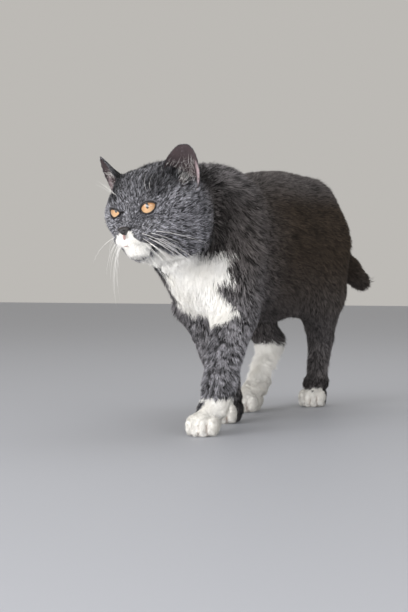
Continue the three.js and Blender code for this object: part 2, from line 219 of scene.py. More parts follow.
# The head's own frame, from the eyes and nose: x to the cat's left, -y ahead, z up.
EYE_FORWARD, EYE_UP = 46 * mm, 2 * mm  # of the eyes' centres from the middle of the skull
NOSE_DROP, NOSE_REACH = 21 * mm, 22 * mm  # of the nose's centre from the eyes' line
eye_line = middle_of("eye_left") - middle_of("eye_right")
head_x = eye_line / np.linalg.norm(eye_line)
between_eyes = (middle_of("eye_left") + middle_of("eye_right")) / 2
to_nose = middle_of("nose") - between_eyes
to_nose -= head_x * (to_nose @ head_x)
to_nose /= np.linalg.norm(to_nose)
square = np.cross(head_x, to_nose)
length = math.hypot(NOSE_DROP, NOSE_REACH)
head_y = (-NOSE_REACH * to_nose + NOSE_DROP * square) / length
head_z = np.cross(head_x, head_y)
head_axes = np.stack([head_x, head_y, head_z], 1)
head_at = between_eyes + EYE_FORWARD * head_y - EYE_UP * head_z


def in_head(points):
    """Points in the head's frame, in millimetres."""
    return (np.asarray(points) - head_at) @ head_axes / mm


def from_head(points):
    return np.asarray(points) * mm @ head_axes.T + head_at


# Shapes as distances, in millimetres, negative inside. Each maker returns a function of points.
def egg(at, radii):
    def distance(points):
        scaled = (points - np.array(at)) / np.array(radii)
        reach = np.linalg.norm(scaled, axis=1)
        slope = np.linalg.norm(scaled / np.array(radii), axis=1)
        return reach * (reach - 1) / np.maximum(slope, 1e-6)
    return distance


def limb(start, end, start_radius, end_radius):
    start, way = np.array(start, float), np.subtract(end, start)
    def distance(points):
        t = np.clip((points - start) @ way / (way @ way), 0, 1)[:, None]
        off = np.linalg.norm(points - start - t * way, axis=1)
        return off - start_radius - (end_radius - start_radius) * t[:, 0]
    return distance


def blended(shapes, soft):
    def distance(points):
        d = shapes[0](points)
        for shape in shapes[1:]:
            e = shape(points)
            h = np.maximum(soft - abs(d - e), 0) / soft
            d = np.minimum(d, e) - h * h * soft / 4
        return d
    return distance


def hollowed(shape, tools, soft):
    outside = blended([lambda points: -shape(points), *tools], soft)
    return lambda points: -outside(points)


def settled(points, distance, level, share):
    """Moves points down the slope of a distance until it equals `level`, each by its own share."""
    step = 0.05
    for _ in range(6):
        here = distance(points)
        slope = np.stack([(distance(points + step * axis) - here) / step for axis in np.eye(3)], 1)
        gap = np.clip(here - level, -2.5, 2.5) * share
        points = points - (gap / np.maximum((slope ** 2).sum(1), 0.2))[:, None] * slope
    return points


def smoothstep(low, high, x):
    t = np.clip((x - low) / (high - low), 0, 1)
    return t * t * (3 - 2 * t)


def pair(make):
    return [make(1), make(-1)]


EYE_AT = in_head(middle_of("eye_left")[None])[0]
EYE_RADIUS = float(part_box("eye_left")[1][2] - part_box("eye_left")[0][2]) / 2 / mm
LID = 1.9  # thickness of an eyelid
face = blended(
    [
        egg((0, 4, 4), (51, 52, 42)),
        egg((0, -24, 12), (36, 29, 28)),
        *pair(lambda s: egg((s * 32, -8, 23), (22, 24, 21))),
        *pair(lambda s: egg((s * 29, -2, -16), (32, 36, 33))),
        *pair(lambda s: egg((s * 39, -20, -4), (21, 25, 22))),
        *pair(lambda s: egg((s * 28, -2, -37), (27, 30, 25))),
    ],
    20,
)
muzzle = blended(
    [
        *pair(lambda s: egg((s * 11, -56, -28), (14, 15, 12.5))),
        *pair(lambda s: egg((s * 20, -44, -27), (16, 18, 14))),
        limb((0, -40, 4), (0, -61, -16), 14, 9.5),
        egg((0, -51, -44), (14, 15, 12)),
        egg((0, -50, -37), (17, 17.5, 11)),
    ],
    6,
)
sockets = pair(lambda s: egg((s * (EYE_AT[0] + 1), -62, 3), (12, 12, 8)))
brows = pair(lambda s: limb((s * 13, -48, 9), (s * 32, -42, 16), 5, 5))
lids = pair(lambda s: egg((s * EYE_AT[0], EYE_AT[1], EYE_AT[2]), [EYE_RADIUS + LID] * 3))
philtrum = limb((0, -76, -26), (0, -73, -36), 1.6, 1.6)
mouth = pair(lambda s: limb((0, -73, -37), (s * 9, -70, -41), 1.4, 1.6))
mouth += pair(lambda s: limb((s * 9, -70, -41), (s * 22, -56, -40), 1.6, 1.2))
head_shape = hollowed(blended([face, muzzle], 12), sockets, 7)
head_shape = blended([head_shape, *brows], 9)
head_shape = blended([head_shape, *lids], 8)
head_shape = hollowed(head_shape, [philtrum, *mouth], 3)
ear_pockets = pair(lambda s: egg((s * 53, -20, 31), (9, 9, 14)))
head_shape = hollowed(head_shape, ear_pockets, 5)

# How far each foot turns out, across for each step ahead, and the spacing of its toes.
FEET = {"forepaw_left": 0.08, "forepaw_right": -0.08, "hindpaw_left": 0.12, "hindpaw_right": -0.12}
TOE_STEP = 8.6


def sole_middle(node):
    """The middle of the foot's flat sole, in millimetres."""
    points = read(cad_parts[node].data.vertices, "co", 3) / mm
    low = points[points[:, 2] < 0.01]
    return (low.min(0) + low.max(0)) / 2


def foot_shape(node):
    turn = FEET[node]
    middle = sole_middle(node)

    def place(across, ahead, up):
        return (middle[0] + across + turn * ahead, middle[1] + 2 - ahead + turn * across, up)

    toes = []
    for i in (-1.5, -0.5, 0.5, 1.5):
        inner = abs(i) < 1
        toes.append(egg(place(i * TOE_STEP, 17 if inner else 11, 12.5), (6.4, 12, 12.5 if inner else 11.5)))
    sole = egg(place(0, 2, 15), (15.5, 24, 17))
    heel = egg(place(0, -12, 15), (13, 16, 14))
    return blended([blended([sole, heel], 10), blended(toes, 2.5)], 5)


SKIN_NODES = FLESH + FILLED
nearest = node_finder(SKIN_NODES)
DEPTH = {  # millimetres of coat over the skin
    "head": 2.6, "neck": 10, "trunk": 8.5, "ear": 0.7, "foreleg": 5, "forepaw": 2.2,
    "hindleg": 6, "hindpaw": 2.2, "tail": 8, "eye": 1.5, "nose": 1.5,
}
SMOOTHNESS = {"head": 0.35, "forepaw": 0.15, "hindpaw": 0.15, "ear": 0.12, "eye": 0.1, "nose": 0.1}
HEADLIKE = ("head", "eye_left", "eye_right", "nose")
EARS = ("ear_left", "ear_right")
PAWS = tuple(FEET)


def among(zones, *names):
    """Whether each of `zones` is one of the named bodies."""
    return np.isin(zones, [SKIN_NODES.index(n) for n in names])


def by_part(table, zones, usual=0.5):
    """Each point's value from a table of the body's parts, left and right alike."""
    return np.array([table.get(n.split("_")[0], usual) for n in SKIN_NODES])[zones]


def put(layer, name, values, kind=np.float32):
    layer.foreach_set(name, np.ascontiguousarray(values, kind).ravel())


def face_corners(mesh):
    mesh.calc_loop_triangles()
    return read(mesh.loop_triangles, "vertices", 3, np.int32)


points = vectors(hide.data)
edges = read(hide.data.edges, "vertices", 2, np.int32)
zone = nearest(points)
points = relaxed(points, edges, 30, relaxed(by_part(SMOOTHNESS, zone), edges, 10))
# The right ear's tip stands further out than the left's, and higher.
EAR_SHIFT = [-4.5, 0, 5]
local = in_head(points)
far = np.where(among(zone, "ear_right"), np.clip((local[:, 2] - 30) / 28, 0, 1), 0)
points = from_head(local + relaxed(far, edges, 6)[:, None] * EAR_SHIFT)
# The hips are rounder than the modelled facets, and the back between them stands a little higher.
x, y, z = (points / mm).T
hip = smoothstep(-20, 60, y) * smoothstep(200, 140, y)
hip *= np.exp(-(((abs(x) - 70) / 32) ** 2) - ((z - 292) / 40) ** 2)
back = np.exp(-(((y - 15) / 60) ** 2)) * smoothstep(262, 300, z)
points += np.stack([-6 * hip * np.sign(x), 0 * hip, 6 * back - 9 * hip], 1) * mm
put(hide.data.vertices, "co", points)
hide.data.update()

# The face is divided finer where the eyes, the nose and the mouth are.
EYE_PLACES = pair(lambda s: ((s * (EYE_AT[0] + 2), EYE_AT[1] - 6, EYE_AT[2]), 15))
MOUTH_PLACES = [((0, -66, -24), 12), ((-11, -62, -38), 13), ((11, -62, -38), 13)]
for places in (EYE_PLACES + MOUTH_PLACES, [(at, reach - 2) for at, reach in EYE_PLACES]):
    bm = bmesh.new()
    bm.from_mesh(hide.data)
    ends = read(hide.data.edges, "vertices", 2, np.int32)
    middles = in_head(read(hide.data.vertices, "co", 3)[ends].mean(1))
    chosen = np.zeros(len(ends), bool)
    for at, reach in places:
        chosen |= np.linalg.norm(middles - np.array(at), axis=1) < reach
    bm.edges.ensure_lookup_table()
    bmesh.ops.subdivide_edges(bm, edges=[bm.edges[i] for i in np.flatnonzero(chosen)], cuts=1,
                              use_grid_fill=True)
    bm.to_mesh(hide.data)
    bm.free()
hide.data.update()

points = vectors(hide.data)
edges = read(hide.data.edges, "vertices", 2, np.int32)
zone = nearest(points)
depth = relaxed(by_part(DEPTH, zone), edges, 25)
local = in_head(points)
CHEEK_DEPTH = 4  # more coat on the cheeks and the back of the head than on the face
cheek = np.clip((local[:, 1] + 35) / 40, 0, 1) * among(zone, "head")
depth = relaxed(depth + CHEEK_DEPTH * cheek, edges, 12)
sole_flat = np.clip(points[:, 2] / mm / 6, 0.05, 1)
depth = np.where(points[:, 2] < 12 * mm, depth * sole_flat, depth)
normals = vectors(hide.data, "normal")
points = points - normals * depth[:, None] * mm

# The head settles onto its own masses, which are rounder than the modelled facets, and so do the feet.
mine = np.flatnonzero(among(zone, *HEADLIKE))
local = in_head(points[mine])
hold = np.clip(1 - (abs(head_shape(local) + depth[mine]) - 3) / 3, 0, 1)
hold *= np.clip((22 - local[:, 1]) / 15, 0, 1)
points[mine] = from_head(settled(local, head_shape, -depth[mine], hold))
for node in FEET:
    shape = foot_shape(node)
    mine = np.flatnonzero(among(zone, node))
    here = points[mine] / mm
    hold = np.clip((30 - here[:, 2]) / 10, 0, 1) * np.clip(1 - (abs(shape(here)) - 3.5) / 2, 0, 1)
    points[mine] = settled(here, shape, -depth[mine], hold) * mm
points[:, 2] = np.maximum(points[:, 2], SOLE_LIFT)
points = relaxed(points, edges, 2, 0.3)

# The lids: over each ball the skin stands off by a lid's thickness, and the almond between the lids is
# pushed back behind the ball's own surface.
OPENING_OUT = {1: 26, -1: 12}  # degrees from straight ahead to the opening's middle, left and right
OPENING_UP = -5
EYE_SLANT = {1: 15, -1: 6}  # degrees, how much the outer corner stands higher
ALMOND = 9.8  # half its length, along the ball
ALMOND_UP = {1: 4.9, -1: 4.4}
ALMOND_DOWN = {1: 6.2, -1: 5.0}


def eye_frame(side, out_angle, up_angle, slant=0.0):
    """Axes across (outwards), up and ahead for an eye, in the head's frame."""
    a, b, c = math.radians(out_angle), math.radians(up_angle), math.radians(slant)
    ahead = np.array([side * math.sin(a) * math.cos(b), -math.cos(a) * math.cos(b), math.sin(b)])
    across = np.array([side * math.cos(a), math.sin(a), 0])
    up = np.cross(across, ahead) * side
    up *= np.sign(up[2])
    raised = math.cos(c) * up - math.sin(c) * across
    return np.stack([math.cos(c) * across + math.sin(c) * up, raised, ahead])


def on_eye(local, side):
    """Distance from the eye's centre, and the place across and up along the ball, in millimetres."""
    out = local - EYE_AT * [side, 1, 1]
    reach = np.linalg.norm(out, axis=1)
    axes = eye_frame(side, OPENING_OUT[side], OPENING_UP, EYE_SLANT[side])
    across, up, ahead = axes @ (out / np.maximum(reach, 1e-6)[:, None]).T
    angle = np.arccos(np.clip(ahead, -1, 1))
    arc = EYE_RADIUS * angle / np.maximum(np.sin(angle), 1e-6)
    return reach, across * arc, up * arc


def opening(across, up, side):
    """How far inside the almond a place is, in millimetres; negative on the lids."""
    room = np.maximum(1 - (across / ALMOND) ** 2, 0)
    upper, lower = ALMOND_UP[side] * room ** 0.65, ALMOND_DOWN[side] * room ** 0.6
    inside = np.minimum(upper - up, up + lower)
    corner = ALMOND - np.hypot(across, np.maximum(abs(up) - 0.5, 0))
    return np.where(abs(across) < ALMOND, inside * 0.85, np.minimum(inside, corner))


local = in_head(points)
for side in (1, -1):
    reach, across, up = on_eye(local, side)
    gap = opening(across, up, side)
    near = (reach < EYE_RADIUS + 9) & (gap > -9)
    lid = np.maximum(reach, EYE_RADIUS + LID * 0.75)
    edge = smoothstep(-2.5, 0, gap)
    lid = lid * (1 - edge) + (EYE_RADIUS + 0.9) * edge
    keep = smoothstep(-9, -6, gap) * (reach < EYE_RADIUS + 9)
    lid = reach * (1 - keep) + lid * keep
    back = smoothstep(-0.15, 0.6, gap)
    wanted = lid * (1 - back) + (EYE_RADIUS - 2.5) * back
    out = local - EYE_AT * [side, 1, 1]
    moved = EYE_AT * [side, 1, 1] + out * (wanted / np.maximum(reach, 1e-6))[:, None]
    local = np.where(near[:, None], moved, local)
points = from_head(local)

put(hide.data.vertices, "co", points)
hide.data.update()

# The body needs fewer facets than the face, the ears and the feet.
coarse = hide.vertex_groups.new(name="coarse")
body_nodes = [n for n in SKIN_NODES if n in ("neck", "trunk") or "leg" in n or "tail" in n]
coarse.add(np.flatnonzero(among(zone, *body_nodes)).tolist(), 1.0, "REPLACE")
thin = hide.modifiers.new("thin", "DECIMATE")
thin.vertex_group = "coarse"
thin.vertex_group_factor = 10.0
thin.ratio = HIDE_FACETS / len(face_corners(hide.data))
thin.use_collapse_triangulate = True
hide.data = finished_mesh(hide)
hide.modifiers.clear()
hide.vertex_groups.clear()
put(hide.data.polygons, "use_smooth", np.ones(len(hide.data.polygons)), bool)

# The coat's facts at every point of the hide: how deep it is, which way it lies, and its markings, painted
# shade among them.
hide_points = vectors(hide.data)
hide_edges = read(hide.data.edges, "vertices", 2, np.int32)
hide_zone = nearest(hide_points)
hide_local = in_head(hide_points)


def is_in(*names):
    return among(hide_zone, *names)


hide_depth = by_part(DEPTH, hide_zone)
hide_depth += CHEEK_DEPTH * np.clip((hide_local[:, 1] + 35) / 40, 0, 1) * is_in("head")
hide_depth = relaxed(hide_depth, hide_edges, 25)


def ripple(points, wavelength, seed):
    """A smooth field between about -1 and 1 that varies over `wavelength`, in the points' own unit."""
    draw = np.random.default_rng(seed)
    waves = draw.normal(size=(9, 3))
    waves *= 2 * math.pi / wavelength / np.linalg.norm(waves, axis=1)[:, None]
    phases = draw.uniform(0, 2 * math.pi, 9)
    return np.sin(points @ waves.T + phases).sum(1) / 3


FEET_SHADED_WHITE, LIPS_SHADED_WHITE = 0.96, 0.84  # how white the feet and lips are next to the breast: painted shade dims them


def least(*values):
    return np.minimum.reduce(np.broadcast_arrays(*values))


def white_share(points):
    """0 where the coat is blue-grey, 1 where it is white, less where painted shade greys it; points in
    metres.
    """
    local = in_head(points)
    at = points / mm
    wander = 1.6 * ripple(local, 9, 1) + 1.0 * ripple(local, 4, 2)
    hx, hy, hz = local.T
    # The muzzle: an upturned V under the nose, both whisker pads and the chin.
    half_width = np.interp(hz, [-55, -46, -36, -29, -24, -20], [12, 18, 19, 14, 9, 5])
    muzzle_in = least(half_width - abs(hx), -52 + 8 * smoothstep(-36, -42, hz) - hy, -19 - hz, hz + 52)
    # The bib: throat, breast and the front of the left shoulder.
    x, y, z = at.T
    centre = np.interp(z, [124, 132, 142, 152, 165, 200], [2, 10, 12, 6, 2, 5])
    width = np.interp(
        z, [120, 126, 133, 143, 152, 165, 180, 200, 212], [6, 16, 30, 38, 36, 26, 22, 24, 24])
    wider = 14 * smoothstep(136, 146, z) * (x < centre)  # on the right the white runs round the neck
    ahead = -138 - y - 20 * smoothstep(150, 142, z)
    chest_in = least(width + wider - abs(x - centre), ahead, hy - 8, z - 122, 216 - z)
    throat_in = least(31 - abs(hx), hy + 47, -41 - hz - 0.4 * abs(hx), -150 - y, 70 - hy, z - 180)
    bib_in = np.maximum(chest_in, throat_in) + 1.2 * wander
    feet_in = np.full(len(at), -99.0)
    for node, top, toe_line in (
        ("forepaw_left", 44, 99), ("forepaw_right", 26, -9),
        ("hindpaw_right", 92, 99), ("hindpaw_left", 25, -2),
    ):
        middle = sole_middle(node)
        reach = 40 if top < 90 else 62
        aside, behind = abs(x - middle[0]), y - middle[1]
        here = least(top - z, toe_line - behind, reach - aside, reach + 22 - abs(behind))
        feet_in = np.maximum(feet_in, here)
    feet_in = np.minimum(feet_in, egg((12, -232, 37), (9, 11, 11))(at))  # grey runs down by the left wrist
    inside = np.maximum(np.maximum(muzzle_in + 0.5 * wander, bib_in), feet_in + wander)
    chin = smoothstep(1.5, -1.5, egg((2, -59, -53), (11, 11, 6))(local))  # a blue-grey smudge under it
    # Painted shade: the throat's white greys towards the top, under the chin; the feet and lips keep a
    # dimmed white.
    white_with_shade = np.where(bib_in > -1, 1 - 0.2 * smoothstep(184, 206, z), FEET_SHADED_WHITE)
    white_with_shade = np.where(muzzle_in > -1, LIPS_SHADED_WHITE, white_with_shade)
    return smoothstep(-0.7, 0.7, inside) * white_with_shade * (1 - 0.45 * chin)


def opening_room(local):
    """How far inside an eye's almond a place in the head's frame is; far below 0 away from both."""
    best = np.full(len(local), -99.0)
    for side in (1, -1):
        reach, across, up = on_eye(local, side)
        best = np.maximum(best, np.where(reach < EYE_RADIUS + 9, opening(across, up, side), -99))
    return best


def toe_grooves(points):
    """1 in the clefts between the toes, where the white hair is drawn tan-brown."""
    best = np.zeros(len(points))
    for node, turn in FEET.items():
        off = points / mm - [*sole_middle(node)[:2], 0]
        ahead = -off[:, 1] + turn * off[:, 0]
        across = off[:, 0] + turn * off[:, 1]
        for cleft in (-TOE_STEP, 0, TOE_STEP):
            line = np.exp(-(((across - cleft) / 0.95) ** 2)) * smoothstep(9, 14, ahead) * (ahead < 34)
            best = np.maximum(best, line * smoothstep(19, 11, off[:, 2]) * (abs(across) < 18))
    return best


def bare_share(points):
    """1 where the skin is bare and dark: the lids' margins and the tear corners."""
    local = in_head(points)
    best = opening_room(local)
    corner = np.full(len(local), 99.0)
    for side in (1, -1):
        reach, across, up = on_eye(local, side)
        tear = np.hypot((across + ALMOND + 1.8) / 4.2, (up + 1.0) / 2.2)
        corner = np.minimum(corner, np.where(reach < EYE_RADIUS + 6, tear, 99))
    return np.maximum(smoothstep(-1.7, -0.9, best), smoothstep(1.3, 0.8, corner))


def body_shade(points):
    """0 on the head's cool pale grey, 1 on the flanks' deep warm grey: the coat's tone and painted shade."""
    at = points / mm
    local = in_head(points)
    behind = smoothstep(-8, 34, local[:, 1])
    front = smoothstep(-50, -180, at[:, 1])
    low = smoothstep(215, 70, at[:, 2])
    crest = 1 - 0.24 * smoothstep(262, 300, at[:, 2])  # painted sheen: the back's top is paler
    return np.clip(behind * (1 - 0.22 * front) * (1 - (0.3 + 0.42 * front) * low) * crest, 0, 1)


# The lie of the hair, as a direction at every point, drawn for each region and then blended.
def unit(ways):
    return ways / np.maximum(np.linalg.norm(ways, axis=1), 1e-9)[:, None]


def lie_of(points, normals):
    way = np.zeros_like(points)
    local = in_head(points)
    from_nose = local - np.array([0, -74, -20])
    from_nose[:, 2] += 6
    way[is_in(*HEADLIKE)] = (from_nose @ head_axes.T)[is_in(*HEADLIKE)]
    under = (is_in("neck", "trunk") & (normals[:, 1] < -0.2)) | (is_in("neck") & (normals[:, 2] < -0.1))
    way[is_in("trunk", "neck")] = (0, 1, -0.38)
    way[under] = (0, 0.15, -1)
    way[is_in("foreleg_left", "foreleg_right")] = (0, 0.25, -1)
    way[is_in("hindleg_left", "hindleg_right")] = (0, 0.55, -1)
    way[is_in(*PAWS)] = (0, -1, -0.55)
    way[is_in("tail_base")] = (0.15, 0.85, -0.5)
    way[is_in("tail_tip")] = (0.1, 0.9, -0.35)
    ear_up = head_axes @ np.array([0, -0.1, 1])
    for node, side in (("ear_left", 1), ("ear_right", -1)):
        way[is_in(node)] = ear_up + head_axes @ np.array([side * 0.45, 0, 0])
    way = relaxed(unit(way), hide_edges, 70)
    way -= (way * normals).sum(1)[:, None] * normals
    return unit(way)


hide_normals = vectors(hide.data, "normal")
hide_lie = lie_of(hide_points, hide_normals)
hide_white = white_share(hide_points)
hide_bare = bare_share(hide_points)
hide_cleft_tan = toe_grooves(hide_points)


def add_values(mesh, name, values):
    kind = "FLOAT" if values.ndim == 1 else "FLOAT_VECTOR"
    layer = mesh.attributes.new(name, kind, "POINT")
    put(layer.data, "value" if values.ndim == 1 else "vector", values)


EAR_FACING = {"ear_left": 34, "ear_right": -38}  # degrees from straight ahead that each ear opens to


def ear_inside():
    """1 on the skin inside the ears, which is bare but for a few long hairs."""
    inside = np.zeros(len(hide_points))
    for node, turn in EAR_FACING.items():
        open_to = head_axes @ np.array([math.sin(math.radians(turn)), -math.cos(math.radians(turn)), 0])
        here = is_in(node) & (hide_normals @ open_to > 0.2)
        inside[here] = 1
    for pocket in pair(lambda s: egg((s * 54, -20, 28), (11, 11, 15))):
        here = is_in("head", *EARS) & (pocket(hide_local) < 0) & (hide_normals @ head_axes[:, 1] < 0.3)
        inside[here] = 1
    return smoothstep(0.45, 0.9, relaxed(inside, hide_edges, 5))


hide_inner = ear_inside()
# A pale fold of bare skin runs down the outer edge of each ear.
for side, pale in ((1, 0.6), (-1, 0.25)):
    top, turn, foot = ((side * x, y, z) for x, y, z in ((64, -10.5, 42), (66, -9.5, 32), (64, -12, 12)))
    fold = blended([limb(top, turn, 0.4, 1.6), limb(turn, foot, 1.6, 2.2)], 1)
    fold = smoothstep(2, -0.5, fold(hide_local - [0, 0, 0 if side > 0 else EAR_SHIFT[2]])) * is_in(*EARS)
    hide_white = np.maximum(hide_white, pale * fold)
    hide_inner = np.maximum(hide_inner, fold)
for name, values in (
    ("inner", hide_inner), ("white", hide_white), ("bare", hide_bare), ("stain", hide_cleft_tan),
    ("shade", body_shade(hide_points)),
):
    add_values(hide.data, name, values)


# Colours of the coat, shared by the hide and every tuft: a group that takes the markings, painted shade
# among them, and puts out the colour of the hair there.
def add_node(tree, kind, inputs, **settings):
    """The outputs of a new shader node with these settings and inputs."""
    node = tree.nodes.new("ShaderNode" + kind)
    for name, value in settings.items():
        setattr(node, name, value)
    plug(tree, node, inputs)
    return node.outputs


def mixed(tree, factor, a, b):
    """A mix of two colours, each a colour or a socket."""
    return add_node(tree, "Mix", {0: factor, 6: a, 7: b}, data_type="RGBA")[2]


def worked(tree, operation, a, b=0.0, clamp=False):
    return add_node(tree, "Math", {0: a, 1: b}, operation=operation, use_clamp=clamp)[0]


def noise(tree, place, scale, detail=2.0):
    return add_node(tree, "TexNoise", {"Vector": place, "Scale": scale, "Detail": detail})[0]


hair_colour = bpy.data.node_groups.new("hair_colour", "ShaderNodeTree")
for name in ("White", "Shade", "Bare", "Inner", "Stain", "Along", "Chance"):
    hair_colour.interface.new_socket(name, in_out="INPUT", socket_type="NodeSocketFloat")
hair_colour.interface.new_socket("Place", in_out="INPUT", socket_type="NodeSocketVector")
hair_colour.interface.new_socket("Color", in_out="OUTPUT", socket_type="NodeSocketColor")
tree = hair_colour
given = tree.nodes.new("NodeGroupInput").outputs
patches = noise(tree, given["Place"], 38.0)
# Shade darkens and warms the greys from head to flanks: the coat's own tone and painted shade.
dull = mixed(tree, given["Shade"], colour(10, 10, 12), colour(9, 7, 6))
silver = mixed(tree, given["Shade"], colour(212, 212, 221), colour(92, 79, 67))
reach = worked(tree, "ADD", worked(tree, "MULTIPLY", given["Along"], 0.55), 0.15)
luck = worked(tree, "MULTIPLY", given["Chance"], 2.0)
grey = mixed(tree, worked(tree, "MULTIPLY", reach, luck, clamp=True), dull, silver)
deep = mixed(tree, given["Shade"], colour(38, 38, 42), colour(24, 20, 16))
grey = mixed(tree, worked(tree, "MULTIPLY", patches, 0.42), grey, deep)
cream = mixed(tree, patches, colour(244, 244, 243), colour(237, 234, 227))
hair = mixed(tree, given["White"], grey, cream)
hair = mixed(tree, worked(tree, "MULTIPLY", given["Stain"], 0.85), hair, colour(112, 84, 62))
skin_tone = mixed(tree, patches, colour(30, 26, 28), colour(78, 66, 68))
skin_tone = mixed(tree, given["White"], skin_tone, colour(184, 164, 168))
hair = mixed(tree, given["Inner"], hair, skin_tone)
hair = mixed(tree, given["Bare"], hair, colour(22, 20, 21))
tree.links.new(hair, tree.nodes.new("NodeGroupOutput").inputs["Color"])


def object_place(tree):
    return add_node(tree, "TexCoord", {})["Object"]


def attribute(tree, name):
    return add_node(tree, "Attribute", {}, attribute_name=name)["Vector" if name == "iris" else "Fac"]


def coloured_hair(tree, along, chance):
    """The group's colour with the piece's own markings plugged in."""
    place = object_place(tree)
    markings_and_shade = {name: attribute(tree, name.lower()) for name in ("White", "Shade", "Bare", "Inner", "Stain")}
    inputs = {**markings_and_shade, "Along": along, "Chance": chance, "Place": place}
    return add_node(tree, "Group", inputs, node_tree=hair_colour)["Color"], place


def add_bump(tree, shader, height, distance):
    """Raises the surface by up to `distance` where `height` is 1."""
    bump = add_node(tree, "Bump", {"Strength": 0.5, "Distance": distance, "Height": height})
    plug(tree, shader, {"Normal": bump["Normal"]})


# Painted shade: the hide keeps the roots' dark colour, so where it shows it reads as the coat's depth.
skin_material, tree, shader = new_material("undercoat_and_depth_shade")
skin_colour, place = coloured_hair(tree, 0.1, 0.4)
plug(tree, shader, {"Base Color": skin_colour, "Roughness": 0.8, "Specular IOR Level": 0.2})
add_bump(tree, shader, noise(tree, place, 900.0), 0.0006)
hide.data.materials.clear()
hide.data.materials.append(skin_material)
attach(hide, "root")
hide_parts(*FLESH)

# ---- The coat ----
# Dense plush fur, standing a little off the body: every tuft is a slim three-sided lock rooted in the
# hide, lying along the body. It is made in sections, one for each part of the body.
LOCK_SIDES = 3
TONE_LAW = (0.35, 0.48)  # of the beta draw of a lock's tone: most are quite dark or quite pale
WHITE_FROM = 0.42
ROOT_LIFT, TIP_LIFT = 0.2 * mm, 0.25 * mm  # least heights over the floor
GATHER = 0.6  # how far the tips of a lock draw together
PATCH = 0.0015  # half the width of a tuft's patch on its section's flat map


